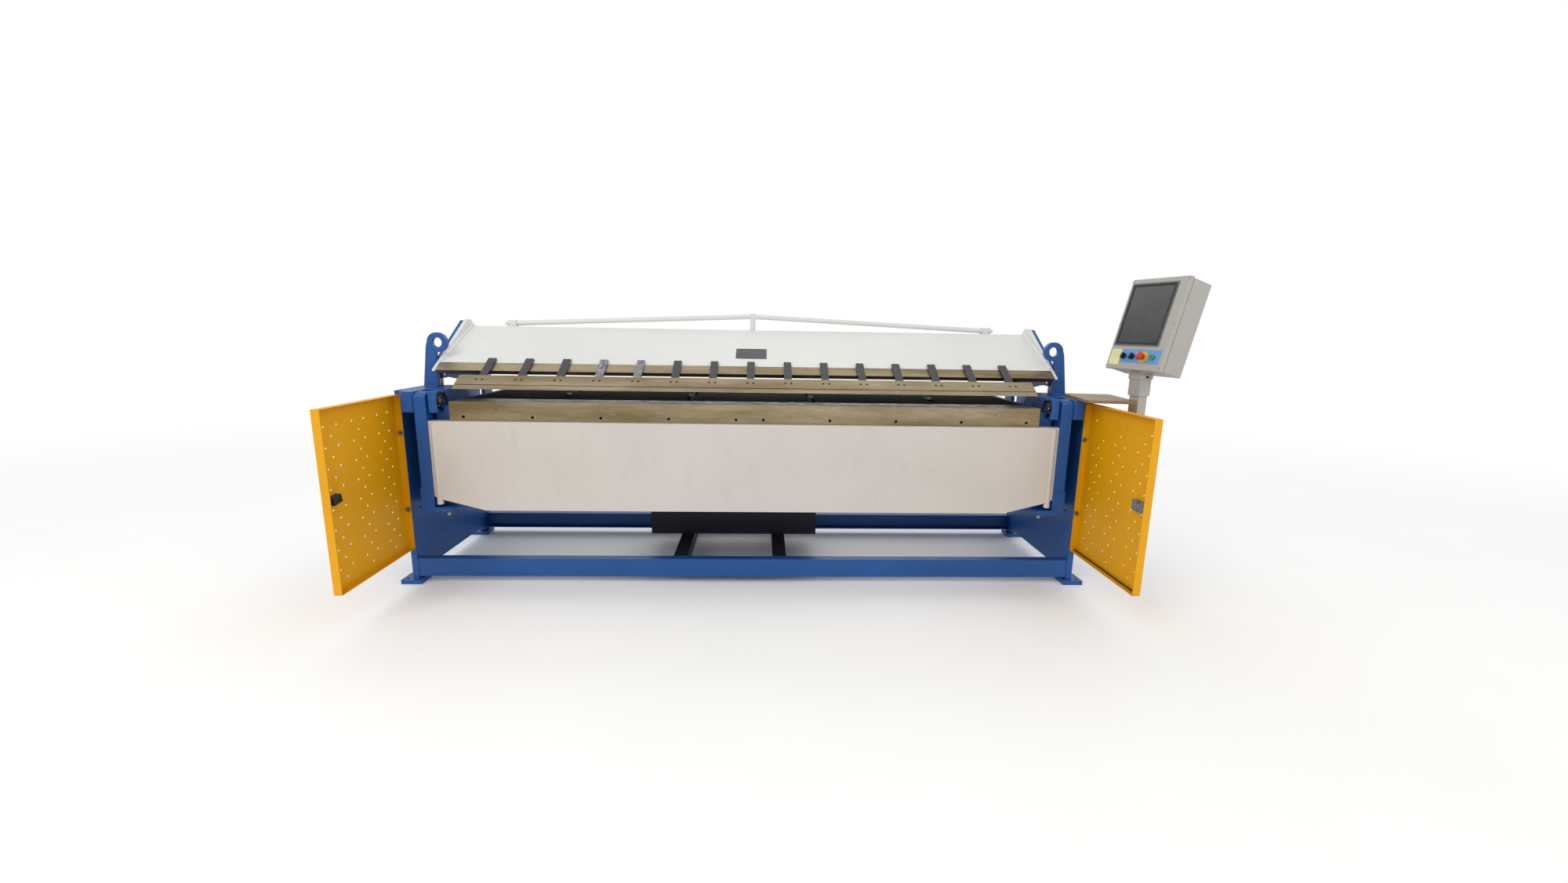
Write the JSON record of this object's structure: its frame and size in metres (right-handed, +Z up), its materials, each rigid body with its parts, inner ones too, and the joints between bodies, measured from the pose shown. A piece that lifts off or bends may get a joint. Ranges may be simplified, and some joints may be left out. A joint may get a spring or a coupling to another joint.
{
  "type": "sheet metal folding machine",
  "caption": "Sheet metal folder: a hinged clamping beam holds the sheet on a ribbed table while a folding beam swings up in front, with side guards and a console.",
  "frame": {"origin": "on the floor midway between the front anchor holes, straight below the fold line", "axes": "+X along the fold line to the console end, +Y from the operator to the back, +Z up"},
  "size_m": [4.1629, 1.474, 1.6931],
  "materials": {
    "blue_paint": "satin",
    "black_paint": "satin",
    "dark_blue_paint": "satin",
    "white_paint": "satin",
    "offwhite_paint": "satin",
    "gold_steel": "passivated",
    "finger_steel": "dark",
    "table_steel": "ground",
    "cast_grey": "painted",
    "ground_steel": "ground",
    "orange_paint": "satin",
    "sensor_grey": "matte",
    "black_plastic": "matte",
    "cable_rubber": "matte",
    "mat_rubber": "ribbed",
    "board_wood": "wrapped in clear tape",
    "cream_paint": "fine texture",
    "rail_aluminium": "anodised",
    "screen_glass": "gloss",
    "red_plastic": "gloss",
    "yellow_plastic": "gloss",
    "green_plastic": "gloss"
  },
  "bodies": {
    "frame": {"left_side_frame": "blue_paint", "right_side_frame": "blue_paint", "left_frame_box": "blue_paint", "right_frame_box": "blue_paint", "left_pivot_housing": "blue_paint", "right_pivot_housing": "blue_paint", "pivot_actuators": "cast_grey", "front_channel": "blue_paint", "rear_channel": "blue_paint", "tank_rails": "black_paint", "lower_beam": "blue_paint", "rear_table_beam": "blue_paint", "table_plate": "black_paint", "ribbed_mats": "mat_rubber", "table_blade": "table_steel", "oil_tank": "dark_blue_paint", "pump_motor": "cast_grey", "left_guard": "orange_paint", "right_guard": "orange_paint", "guard_bolts": "cast_grey", "light_reflector": "black_plastic", "light_sensor": "sensor_grey", "sensor_lead": "cable_rubber", "tool_board": "board_wood", "console_bracket": "blue_paint", "console_post": "cream_paint", "left_clamp_cylinder": "cast_grey", "right_clamp_cylinder": "cast_grey", "gauge_modules": "rail_aluminium", "clamp_pins": "ground_steel"},
    "clamping_beam": {"clamp_beam": "white_paint", "left_end_plate": "white_paint", "right_end_plate": "white_paint", "left_clamp_arm": "blue_paint", "right_clamp_arm": "blue_paint", "holder_bar": "gold_steel", "clamp_fingers": "finger_steel", "nose_blade": "gold_steel", "truss_rod": "white_paint"},
    "left_rod": {"left_clamp_rod": "ground_steel"},
    "right_rod": {"right_clamp_rod": "ground_steel"},
    "bending_beam": {"folding_beam": "offwhite_paint", "folding_blade": "gold_steel", "left_folding_arm": "blue_paint", "right_folding_arm": "blue_paint", "left_arm_foot": "blue_paint", "right_arm_foot": "blue_paint", "left_pivot_shaft": "ground_steel", "right_pivot_shaft": "ground_steel"},
    "gauge": {"gauge_beam": "rail_aluminium", "gauge_fingers": "ground_steel"},
    "console": {"console_sleeve": "cream_paint", "console_case": "cream_paint", "console_cover": "cream_paint", "touch_screen": "screen_glass", "stop_collar": "yellow_plastic"},
    "stop": {"stop_button": "red_plastic"},
    "left_switch": {"left_selector": "black_plastic"},
    "right_switch": {"right_selector": "black_plastic"},
    "start": {"start_button": "green_plastic"}
  },
  "joints": [
    {"name": "clamp_hinge", "type": "hinge", "parent": "frame", "child": "clamping_beam", "pos_m": [0, 0.78, 1.08], "axis": [1, 0, 0], "range_deg": [-2, 4.51]},
    {"name": "left_rod_slide", "type": "slide", "parent": "frame", "child": "left_rod", "axis": [0, 0, 1], "range_m": [-0.0398, 0.0193]},
    {"name": "right_rod_slide", "type": "slide", "parent": "frame", "child": "right_rod", "axis": [0, 0, 1], "range_m": [-0.0398, 0.0193]},
    {"name": "folding_hinge", "type": "hinge", "parent": "frame", "child": "bending_beam", "pos_m": [0, 0, 1.01], "axis": [-1, 0, 0], "range_deg": [0, 135]},
    {"name": "gauge_slide", "type": "slide", "parent": "frame", "child": "gauge", "axis": [0, 1, 0], "range_m": [-0.16, 0.29]},
    {"name": "console_swivel", "type": "hinge", "parent": "frame", "child": "console", "pos_m": [2.036, -0.1, 1.094], "axis": [0, 0, 1], "range_deg": [-90, 90]},
    {"name": "stop_push", "type": "slide", "parent": "console", "child": "stop", "axis": [0.933, 0.25, -0.2588], "range_m": [0, 0.005], "stiffness_N_per_m": 1500},
    {"name": "start_push", "type": "slide", "parent": "console", "child": "start", "axis": [0.933, 0.25, -0.2588], "range_m": [0, 0.003], "stiffness_N_per_m": 1500},
    {"name": "left_switch_turn", "type": "hinge", "parent": "console", "child": "left_switch", "pos_m": [1.96533, -0.04916, 1.29613], "axis": [-0.933, -0.25, 0.2588], "range_deg": [-45, 45]},
    {"name": "right_switch_turn", "type": "hinge", "parent": "console", "child": "right_switch", "pos_m": [1.97841, -0.09799, 1.29613], "axis": [-0.933, -0.25, 0.2588], "range_deg": [-45, 45]}
  ],
  "couplings": [
    {"joint": "left_rod_slide", "follows": "clamp_hinge", "m_per_rad": -0.467},
    {"joint": "right_rod_slide", "follows": "clamp_hinge", "m_per_rad": -0.467}
  ]
}
